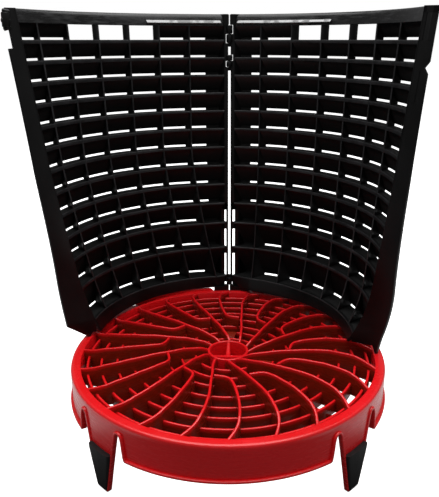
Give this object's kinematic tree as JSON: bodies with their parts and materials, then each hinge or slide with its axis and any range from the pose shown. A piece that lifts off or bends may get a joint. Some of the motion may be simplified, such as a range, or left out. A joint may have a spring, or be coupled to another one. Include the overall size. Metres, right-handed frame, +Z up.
{
  "type": "bucket grit insert with washboard",
  "caption": "Round ribbed insert on booted legs with a folding curved washboard on its rim, to rub grit out of wash mitts inside a pail.",
  "frame": {"origin": "centre of the round insert, in the plane of its flat top rim", "axes": "+Z up along the insert's axis, -Y towards the open front that the washboard's hollow side faces, +X to the right when looking along +Y"},
  "size_m": [0.3096, 0.2775, 0.3375],
  "materials": {
    "red_plastic": "moulded polypropylene, smooth satin gloss",
    "black_plastic": "moulded polypropylene, fine satin with glossy edges",
    "black_rubber": "matte moulded rubber"
  },
  "bodies": {
    "insert": {"insert_rim": "red_plastic", "insert_skirt_right": "red_plastic", "insert_skirt_rear": "red_plastic", "insert_skirt_left": "red_plastic", "insert_skirt_front": "red_plastic", "insert_leg_rear_right": "red_plastic", "insert_leg_rear_left": "red_plastic", "insert_leg_front_left": "red_plastic", "insert_leg_front_right": "red_plastic", "rubber_boot_rear_right": "black_rubber", "rubber_boot_rear_left": "black_rubber", "rubber_boot_front_left": "black_rubber", "rubber_boot_front_right": "black_rubber", "insert_grate": "red_plastic", "grate_hub": "red_plastic", "calming_vane_rear_right": "red_plastic", "calming_vane_rear_left": "red_plastic", "calming_vane_front_left": "red_plastic", "calming_vane_front_right": "red_plastic"},
    "washboard_left": {"left_panel_grid": "black_plastic", "left_top_band": "black_plastic", "left_foot_band": "black_plastic", "left_outer_wing": "black_plastic", "left_hinge_flange": "black_plastic"},
    "washboard_right": {"right_panel_grid": "black_plastic", "right_top_band": "black_plastic", "right_foot_band": "black_plastic", "right_outer_wing": "black_plastic", "right_hinge_flange": "black_plastic"}
  },
  "joints": [
    {"name": "washboard_lift", "type": "slide", "parent": "insert", "child": "washboard_left", "axis": [0, 0, 1], "range_m": [0, 0.3]},
    {"name": "washboard_fold", "type": "hinge", "parent": "washboard_left", "child": "washboard_right", "pos_m": [0.0013, 0.1305, 0], "axis": [0, 0, 1], "range_deg": [0, 90]}
  ]
}
